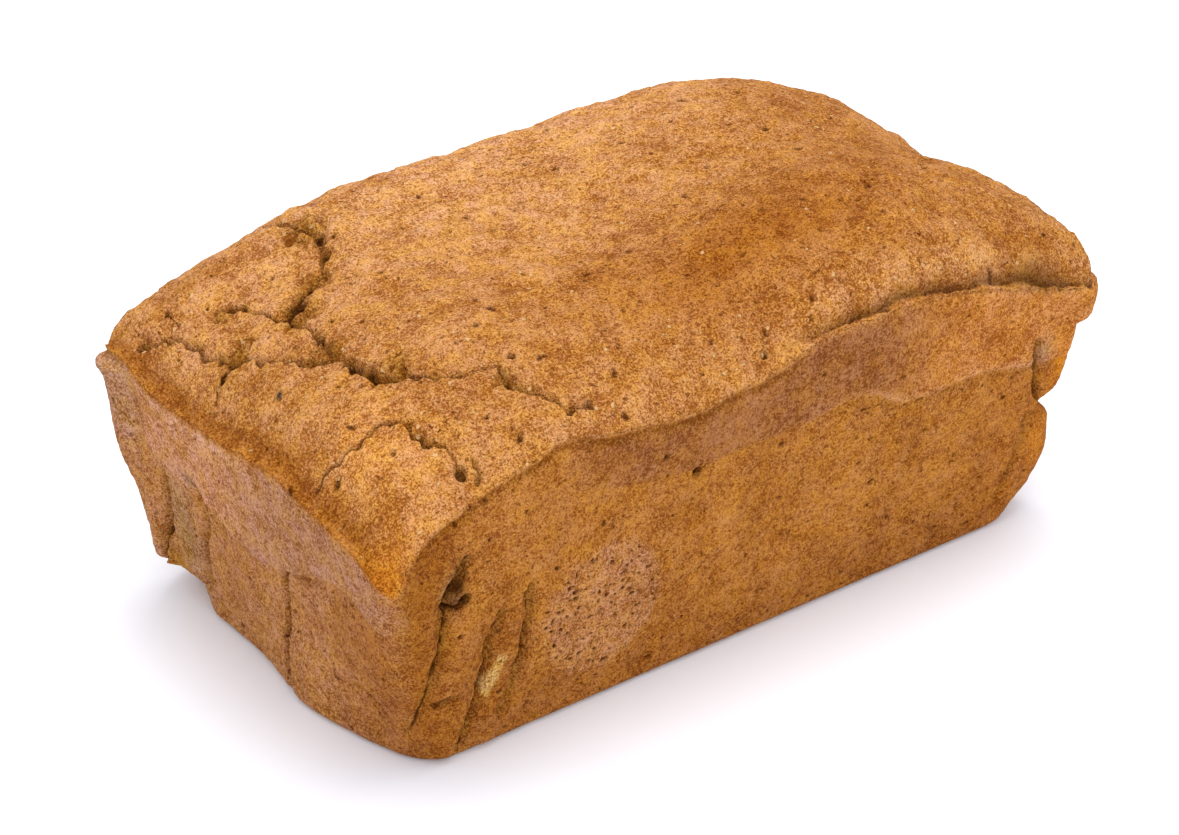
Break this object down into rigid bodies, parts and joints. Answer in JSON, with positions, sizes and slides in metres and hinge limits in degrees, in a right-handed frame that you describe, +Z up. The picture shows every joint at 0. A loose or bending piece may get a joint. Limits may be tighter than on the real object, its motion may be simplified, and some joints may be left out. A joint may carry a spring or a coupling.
{
  "type": "oat bread loaf",
  "caption": "Whole uncut oat bread loaf baked in a lined tin, with a domed cracked crust, folded walls and a flat base to rest on.",
  "frame": {"origin": "under the middle of the loaf, on the surface it rests on", "axes": "+X along the loaf's length, +Y across it to the far side, +Z up; the near long side faces -Y and the cracked end faces -X"},
  "size_m": [0.2402, 0.1346, 0.1094],
  "materials": {
    "crust": "dry golden brown oat crust, matt and gritty, paler and smoother on the walls"
  },
  "bodies": {
    "root": {"loaf": "crust"}
  },
  "joints": []
}
